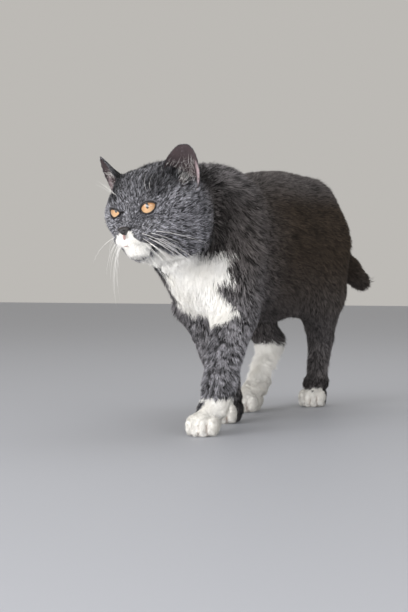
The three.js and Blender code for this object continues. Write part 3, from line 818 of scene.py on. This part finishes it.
def tufts(name, corners, count, seed, fit, locks):
    """Joins `count` tufts, rooted at random over the hide's triangles `corners`, into one piece."""
    draw = np.random.default_rng(seed)
    # A flat map of this section of the hide, on which each tuft gets a small patch at its root's place.
    used, where = np.unique(corners, return_inverse=True)
    section = bpy.data.meshes.new("section")
    section.from_pydata(hide_points[used].tolist(), [], where.reshape(-1, 3).tolist())
    holder = new_object("section", section)
    bpy.context.view_layer.objects.active = holder
    holder.select_set(True)
    bpy.ops.object.mode_set(mode="EDIT")
    bpy.ops.mesh.select_all(action="SELECT")
    bpy.ops.uv.smart_project(angle_limit=1.15, island_margin=0.004, scale_to_bounds=True)
    bpy.ops.object.mode_set(mode="OBJECT")
    flat = read(section.uv_layers.active.data, "uv", 2).astype(float).reshape(-1, 3, 2)
    bpy.data.objects.remove(holder)

    a, b, c = (hide_points[corners[:, i]] for i in range(3))
    area = np.linalg.norm(np.cross(b - a, c - a), axis=1)
    for marking, thinning in ((hide_bare, 1), (hide_inner, 0.85), (hide_cleft_tan, 0.9)):
        area *= 1 - thinning * marking[corners].max(1)
    triangle = draw.choice(len(corners), count, p=area / area.sum())
    u, v = draw.uniform(size=(2, count))
    u, v = np.where(u + v > 1, 1 - u, u), np.where(u + v > 1, 1 - v, v)
    share = np.stack([1 - u - v, u, v], 1)

    def at_root(values):
        held = values[corners[triangle]]
        return (held * share.reshape(count, 3, *[1] * (values.ndim - 1))).sum(1)

    root = at_root(hide_points)
    normal = unit(at_root(hide_normals))
    lie = unit(at_root(hide_lie))
    depth = at_root(hide_depth)
    # Neighbouring tufts hang together in locks: each lock has one length, lean, turn and tone.
    every = max(count // locks, 1)
    heads = root[::every]
    tree = KDTree(len(heads))
    for i, p in enumerate(heads):
        tree.insert(p, i)
    tree.balance()
    lock = np.array([tree.find(p)[1] for p in root])
    tone = draw.beta(*TONE_LAW, size=len(heads))[lock]
    lift, length, width, stray, crest = fit(root, depth, draw, lock, len(heads))
    even = 0.32 * smoothstep(-150, -60, root[:, 1] / mm)  # the flanks are evener than the head and breast
    chance = (0.85 - even) * tone + (0.15 + even) * draw.uniform(size=count)
    hx, _, hz = in_head(root).T
    band = np.exp(-(((abs(hx) - 33) / 13) ** 2)) * smoothstep(5, 15, hz) * (fit is short_fit)
    # Painted shade: the top of the head is drawn darker.
    crown_shade = smoothstep(6, 24, hz) * (fit is short_fit)
    # Painted shade: the plush in the crease where the neck meets the head is drawn darker.
    neck_crease_shade = smoothstep(88, 64, np.linalg.norm(in_head(root), axis=1)) * (fit is plush_fit)
    chance = np.clip(chance + 0.22 * crest - 0.35 * neck_crease_shade - 0.35 * band - 0.22 * crown_shade, 0, 1)
    chance **= 1.75 if fit is short_fit else 1.25
    across = unit(np.cross(lie, normal))
    turn = stray * (0.6 * draw.normal(size=len(heads))[lock] + 0.5 * draw.normal(size=count))
    turn += 0.2 * ripple(root / mm, 11, seed + 1)
    lie = lie * np.cos(turn)[:, None] + across * np.sin(turn)[:, None]
    lie = unit(lie - (lie * normal).sum(1)[:, None] * normal)
    across = np.cross(lie, normal)
    way = lie * np.cos(lift)[:, None] + normal * np.sin(lift)[:, None]
    rise = np.cross(across, way)
    base = root - normal * (0.4 * mm)
    ring = []
    for i in range(LOCK_SIDES):
        angle = 2 * math.pi * i / LOCK_SIDES
        side_step = across * math.cos(angle) + rise * math.sin(angle) * 0.6
        ring.append(base + side_step * (width * mm / 2)[:, None])
    tip = base + way * (length * mm)[:, None]
    leader = lock * every
    tip += (base[leader] - base) * GATHER  # towards the lock's own line
    tip[:, 2] = np.maximum(tip[:, 2], TIP_LIFT)
    vertices = np.stack([*ring, tip], 1).reshape(-1, 3)
    vertices[:, 2] = np.maximum(vertices[:, 2], ROOT_LIFT)
    sides = np.array([[i, (i + 1) % LOCK_SIDES, LOCK_SIDES] for i in range(LOCK_SIDES)])
    faces = (np.arange(count)[:, None, None] * (LOCK_SIDES + 1) + sides).reshape(-1, 3)

    mesh = bpy.data.meshes.new(name)
    mesh.vertices.add(len(vertices))
    put(mesh.vertices, "co", vertices)
    mesh.loops.add(faces.size)
    put(mesh.loops, "vertex_index", faces, np.int32)
    mesh.polygons.add(len(faces))
    put(mesh.polygons, "loop_start", np.arange(len(faces)) * 3, np.int32)
    put(mesh.polygons, "use_smooth", np.zeros(len(faces)), bool)
    mesh.update(calc_edges=True)
    piece = new_object(name, mesh)
    white = white_share(root)
    white = np.where(white > WHITE_FROM, np.maximum(white, 0.5), 0)  # a tuft is white or it is grey
    for marking, values in (
        ("white", white), ("bare", bare_share(root)), ("inner", np.zeros(count)),
        ("stain", toe_grooves(root)), ("shade", body_shade(root)), ("chance", chance),
    ):
        add_values(mesh, marking, np.repeat(values, LOCK_SIDES + 1))
    add_values(mesh, "along", np.tile([0.0] * LOCK_SIDES + [1.0], count))
    spot = (flat[triangle] * share[:, :, None]).sum(1)
    spot = np.clip(spot, 0.002, 0.998)
    patch = np.array([[math.cos(t), math.sin(t)] for t in (0.5, 2.6, 4.7)]) * PATCH
    corner_spot = np.concatenate([patch, [[0.0, 0.0]]])
    uv = spot[:, None, None, :] + corner_spot[sides][None]
    layer = mesh.uv_layers.new(name="OFBake")
    put(layer.data, "uv", uv)
    mesh.materials.append(coat_material)
    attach(piece, "root")


coat_material, tree, shader = new_material("coat")
tuft_colour = coloured_hair(tree, attribute(tree, "along"), attribute(tree, "chance"))[0]
plug(tree, shader, {"Base Color": tuft_colour, "Roughness": 0.6, "Specular IOR Level": 0.15,
                    "Sheen Weight": 0.04})

hide_corners = face_corners(hide.data)
corner_zone = hide_zone[hide_corners[:, 0]]
corner_middle = hide_points[hide_corners].mean(1)


def section_of(*names):
    return among(corner_zone, *names)


def short_fit(root, depth, draw, lock, locks):
    """Lift, length, width, stray and crest of the short hair, shortest on the face and feet."""
    count = len(root)
    ruff = smoothstep(-5, 30, in_head(root)[:, 1]) * (root[:, 2] > 150 * mm)
    crest = 0.4 * ripple(root / mm, 7, 3)
    lift = np.radians(22 + 9 * ruff + 7 * draw.normal(size=locks)[lock] + 4 * draw.normal(size=count))
    face = smoothstep(62, 22, np.linalg.norm(in_head(root) - [0, -66, -24], axis=1))  # 1 at the nose
    longest = 8.5 - 5 * face
    length = np.clip(depth / np.sin(np.clip(lift, 0.25, 1)), 1.5, longest) * draw.uniform(0.7, 1.05, count)
    return lift, length, 0.55 + 0.08 * depth, 0.3, crest


def plush_fit(root, depth, draw, lock, locks):
    """The same for the body's plush, which parts in ridges across the forelegs, breast and neck."""
    count = len(root)
    at = root / mm
    ahead = smoothstep(-90, -170, at[:, 1])
    along = at[:, 2] + 0.35 * at[:, 1] + 4.5 * ripple(at, 26, 8) + 1.2 * ripple(at, 9, 9)
    crest = np.sin(2 * math.pi * along / 8.5) * (0.12 + 0.88 * ahead) * (0.6 + 0.4 * ripple(at, 30, 10))
    lift = np.radians(26 + 9 * crest + 8 * draw.normal(size=locks)[lock] + 4 * draw.normal(size=count))
    length = depth / np.sin(np.clip(lift, 0.38, 1)) * draw.uniform(0.85, 1.02, count)
    length *= draw.uniform(0.62, 1.0, locks)[lock]
    return lift, length, 0.8 + 0.09 * depth, 0.26, 2 * crest


SPLIT = float(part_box("trunk")[0][1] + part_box("trunk")[1][1]) / 2  # half-way along the trunk
middle_x, middle_y, _ = corner_middle.T
SECTIONS = [  # each section's triangles, its tufts, its locks, and how its tufts are shaped
    ("coat_head", section_of(*HEADLIKE), 66000, 26000, short_fit),
    ("coat_ears", section_of(*EARS), 14000, 2500, short_fit),
    ("coat_neck", section_of("neck"), 60000, 11000, plush_fit),
    *(
        (f"coat_trunk_{end}_{side}", section_of("trunk") & lengthwise & across, 42000, 13000, plush_fit)
        for end, lengthwise in (("front", middle_y < SPLIT), ("back", middle_y >= SPLIT))
        for side, across in (("left", middle_x >= 0), ("right", middle_x < 0))
    ),
    ("coat_forelegs", section_of("foreleg_left", "foreleg_right"), 50000, 9000, plush_fit),
    *((f"coat_{leg}", section_of(leg), 30000, 9000, plush_fit) for leg in ("hindleg_left", "hindleg_right")),
    ("coat_paws", section_of(*PAWS), 36000, 7000, short_fit),
    ("coat_tail", section_of("tail_base", "tail_tip"), 36000, 8000, plush_fit),
]
for seed, (name, chosen, count, locks, fit) in enumerate(SECTIONS):
    tufts(name, hide_corners[chosen], count, 100 + 10 * seed, fit, locks)

# ---- The eyes ----
# A glossy ball for each eye, with a swollen clear front over an amber iris and a slit pupil. The lids'
# bare dark margins lie on it as a thin rolled edge.
GAZE = {1: (29, 4), -1: (21, 10)}  # degrees outwards for the left eye, inwards for the right, and up
CORNEA_SWELL = 0.7
CORNEA_ANGLE = math.radians(42)
PUPIL_HALF = (0.15, 0.28)  # width and height of the slit, as shares of the ball's radius
IRIS_EDGE = 0.84

eye_material, tree, shader = new_material("eye")
x, y, _ = add_node(tree, "SeparateXYZ", {0: attribute(tree, "iris")})


def squares(tree, a, b):
    return worked(tree, "ADD", worked(tree, "MULTIPLY", a, a), worked(tree, "MULTIPLY", b, b))


out = worked(tree, "SQRT", squares(tree, x, y))
spoke = [worked(tree, "DIVIDE", x, out), worked(tree, "DIVIDE", y, out), worked(tree, "MULTIPLY", out, 0.6)]
fibres = noise(tree, add_node(tree, "CombineXYZ", dict(enumerate(spoke)))[0], 9.0, 4.0)
flecks = noise(tree, attribute(tree, "iris"), 7.0, 2.0)
amber = mixed(tree, fibres, colour(112, 76, 44), colour(206, 160, 112))
# Painted light: the iris is drawn brighter low down, where light through the eye's front gathers.
painted_iris_light = worked(tree, "ADD", worked(tree, "MULTIPLY", y, -1.1), 0.12, clamp=True)
amber = mixed(tree, painted_iris_light, amber, colour(234, 196, 152))
amber = mixed(tree, worked(tree, "MULTIPLY", flecks, 0.3), amber, colour(150, 92, 42))
# Painted shade: the iris's top is drawn darker, as in the upper lid's shadow.
lid_shade = worked(tree, "ADD", worked(tree, "MULTIPLY", y, 1.6), -0.15, clamp=True)
amber = mixed(tree, lid_shade, amber, colour(104, 66, 38))


def ramp(tree, value, low, high):
    """0 below `low` and 1 above `high`."""
    inputs = {"Value": value, "From Min": low, "From Max": high}
    return add_node(tree, "MapRange", inputs, interpolation_type="SMOOTHSTEP")["Result"]


edge = ramp(tree, out, IRIS_EDGE - 0.12, IRIS_EDGE)
amber = mixed(tree, edge, amber, colour(38, 24, 16))
slit = squares(tree, *(worked(tree, "DIVIDE", at, half) for at, half in zip((x, y), PUPIL_HALF)))
amber = mixed(tree, ramp(tree, slit, 1.25, 0.8), amber, colour(4, 4, 5))
plug(tree, shader, {"Base Color": amber, "Roughness": 0.35, "Coat Weight": 1.0, "Coat Roughness": 0.03})


def speckled(name, scale, first, second, roughness):
    """A material that wanders between two colours."""
    made, tree, shader = new_material(name)
    spots = mixed(tree, noise(tree, object_place(tree), scale), colour(*first), colour(*second))
    plug(tree, shader, {"Base Color": spots, "Roughness": roughness})
    return made, tree, shader


margin_material = speckled("lid_margin", 700.0, (18, 16, 17), (44, 38, 38), 0.35)[0]


def tube(bm, points, radii, sides=6, closed=False):
    """Bridges rings of vertices along a line of points into a tube."""
    points = [Vector(p) for p in points]
    count = len(points)
    rings = []
    for i, p in enumerate(points):
        after = points[(i + 1) % count] if closed or i < count - 1 else p
        before = points[i - 1] if closed or i > 0 else p
        turn = (after - before).to_track_quat("Z", "Y").to_matrix().to_4x4()
        stand = Matrix.Translation(p) @ turn
        ring = bmesh.ops.create_circle(bm, segments=sides, radius=radii[i], matrix=stand)
        rings.append(ring["verts"])
    pairs = list(zip(rings, rings[1:] + rings[:1] if closed else rings[1:]))
    for ring, following in pairs:
        edges = {e for v in ring for e in v.link_edges if e.other_vert(v) in ring}
        edges |= {e for v in following for e in v.link_edges if e.other_vert(v) in following}
        bmesh.ops.bridge_loops(bm, edges=list(edges))
    if not closed:
        bmesh.ops.contextual_create(bm, geom=rings[0])
        bmesh.ops.contextual_create(bm, geom=rings[-1])


def finished(name, bm, material, slot, *nodes):
    """Turns a bmesh in metres into a smooth piece that rides on the cat."""
    bmesh.ops.recalc_face_normals(bm, faces=bm.faces)
    mesh = bpy.data.meshes.new(name)
    bm.to_mesh(mesh)
    bm.free()
    put(mesh.polygons, "use_smooth", np.ones(len(mesh.polygons)), bool)
    piece = new_object(name, mesh)
    mesh.materials.append(material)
    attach(piece, "root")
    if nodes:
        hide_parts(*nodes)
    return piece


for node, side in (("eye_left", 1), ("eye_right", -1)):
    out_angle, up_angle = GAZE[side]
    gaze = eye_frame(side, side * out_angle, up_angle)
    bm = bmesh.new()
    bmesh.ops.create_uvsphere(bm, u_segments=72, v_segments=54, radius=1.0)
    piece = finished("eyeball" + node[3:], bm, eye_material, "eye", node)
    ball = vectors(piece.data)
    add_values(piece.data, "iris", ball)
    from_pole = np.arccos(np.clip(ball[:, 2], -1, 1)) / CORNEA_ANGLE
    reach = EYE_RADIUS - 0.1 + CORNEA_SWELL * np.maximum(1 - from_pole ** 2, 0) ** 1.5
    turned = ball @ gaze * reach[:, None] + EYE_AT * [side, 1, 1]
    put(piece.data.vertices, "co", from_head(turned))
    if np.linalg.det(gaze) < 0:
        piece.data.flip_normals()

    axes = eye_frame(side, OPENING_OUT[side], OPENING_UP, EYE_SLANT[side])
    line = []
    steps = 56
    for i in range(steps):
        turn = 2 * math.pi * i / steps
        across = ALMOND * math.cos(turn)
        half = ALMOND_UP[side] if i < steps / 2 else -ALMOND_DOWN[side]
        up = half * abs(math.sin(turn)) ** 1.25
        angle = math.hypot(across, up) / EYE_RADIUS
        flat = np.array([across, up]) / max(math.hypot(across, up), 1e-6) * math.sin(angle)
        spot = np.array([flat[0], flat[1], math.cos(angle)]) @ axes * (EYE_RADIUS + 0.55)
        line.append(from_head((spot + EYE_AT * [side, 1, 1])[None])[0])
    thick = [(0.85 if i < steps / 2 else 0.5) * mm for i in range(steps)]
    bm = bmesh.new()
    tube(bm, line, thick, 8, closed=True)
    finished(node.replace("eye", "lid_margin"), bm, margin_material, "nose_leather")

# ---- The nose ----
# Bare dark leather, wide at the top and narrow below, with two comma-shaped nostrils and a groove down
# its middle. Its surface is pebbled and a little moist.
NOSE_AT = in_head(middle_of("nose")[None])[0]
nose_material, tree, shader = speckled("nose_leather", 300.0, (20, 18, 20), (40, 36, 38), 0.42)
plug(tree, shader, {"Coat Weight": 0.25})
pebbles = add_node(tree, "TexVoronoi", {"Vector": object_place(tree), "Scale": 1600.0})
add_bump(tree, shader, pebbles["Distance"], 0.0003)

bm = bmesh.new()
bmesh.ops.create_icosphere(bm, subdivisions=5, radius=1.0)
nose = finished("nose_leather", bm, nose_material, "nose_leather", "nose")
ball = vectors(nose.data)
x, y, z = ball.T * [[8.4], [5.0], [5.6]]
x = x * (0.32 + 0.68 * smoothstep(-5.5, 1.5, z)) * (1 + 0.12 * smoothstep(1, 4, z))
z = np.where(z > 0, z * 0.72, z)
front = y < 0
for side in (1, -1):
    across, up = x - side * 3.6, z + 0.9
    hole = np.exp(-((across / 1.25) ** 2 + (up / 1.15) ** 2))
    comma = np.exp(-(((x - side * 5.6) / 1.5) ** 2 + ((z - 0.1 + 0.25 * (abs(x) - 4)) / 0.55) ** 2))
    y = y + front * (2.6 * hole + 1.2 * comma)
y = y + front * 0.55 * np.exp(-(x / 0.45) ** 2) * smoothstep(2.5, 0, z)
put(nose.data.vertices, "co", from_head(np.stack([x, y, z], 1) + NOSE_AT))

# Under it the bare pink skin shows in the cleft of the lip and where the lips meet.
lip_material = speckled("lip_skin", 500.0, (190, 160, 158), (160, 130, 126), 0.5)[0]
for name, middle, radii in (
    ("lip_cleft", (-0.3, -68.9, -26.2), (1.0, 2.4, 3.2)),
    ("lip_join", (-1.0, -67.4, -36.4), (2.6, 2.2, 0.5)),
):
    bm = bmesh.new()
    bmesh.ops.create_icosphere(bm, subdivisions=3, radius=1.0)
    lip = finished(name, bm, lip_material, "nose_leather")
    ball = vectors(lip.data)
    put(lip.data.vertices, "co", from_head(ball * radii + np.array(middle)))

# ---- Whiskers and ear hair ----
# Long stiff white hairs, each thickest at its root and curving down under its own weight: rows of them
# on both whisker pads, a few over each eye, and finer, shorter ones inside the ears.
whisker_material = speckled("whisker", 60.0, (250, 249, 246), (228, 226, 222), 0.35)[0]
WHISKER_STEPS = 9


def add_hair(bm, start, way, droop, length, radius, sides=4):
    """One hair in the head's frame, in millimetres."""
    line, thick = [], []
    for i in range(WHISKER_STEPS):
        t = i / (WHISKER_STEPS - 1)
        line.append(from_head((start + length * (way * t + droop * t * t))[None])[0])
        thick.append(radius * (1 - 0.85 * t) * mm)
    tube(bm, line, thick, sides)


draw = np.random.default_rng(31)
bm = bmesh.new()
for side in (1, -1):
    for row in range(4):
        for column in range(4 if row in (1, 2) else 3):
            start = np.array([side * (15 + 2.8 * column), -62 + 3.6 * column, -24 - 3.8 * row])
            way = np.array([side * (0.60 + 0.04 * column), -0.08 + 0.15 * column, -0.16 - 0.13 * row])
            way += draw.normal(size=3) * 0.06
            way /= np.linalg.norm(way)
            droop = np.array([side * -0.05, 0.26, -0.30 - 0.05 * row])
            add_hair(bm, start, way, droop, draw.uniform(38, 62), 0.24)
    for i in range(2 if side > 0 else 4):
        start = np.array([side * (22 + 3 * i), -46 + 2 * i, 17 + 0.6 * i])
        way = np.array([side * (0.2 + 0.12 * i), -0.5, 0.8]) + draw.normal(size=3) * 0.07
        add_hair(bm, start, way / np.linalg.norm(way), np.array([side * 0.25, 0.22, -0.12]),
                 draw.uniform(20, 32), 0.13)
finished("whiskers", bm, whisker_material, "white_coat")

bm = bmesh.new()
for side in (1, -1):
    here = np.flatnonzero((hide_inner > 0.8) & (side * hide_local[:, 0] > 0))
    inward = abs(hide_local[here, 0])
    height = hide_local[here, 2]
    here = here[(inward < np.quantile(inward, 0.75)) & (height < np.quantile(height, 0.6))]
    for i in draw.choice(here, 120 if side > 0 else 40):
        way = np.array([side * draw.uniform(0.0, 0.9), draw.uniform(-0.5, 0.1), draw.uniform(0.4, 1.1)])
        way += 0.6 * (hide_normals[i] @ head_axes)
        way /= np.linalg.norm(way)
        droop = np.array([side * 0.2, 0.1, draw.uniform(-0.3, 0.1)])
        add_hair(bm, hide_local[i], way, droop, draw.uniform(6, 12), 0.1, 3)
finished("ear_hair", bm, whisker_material, "white_coat")
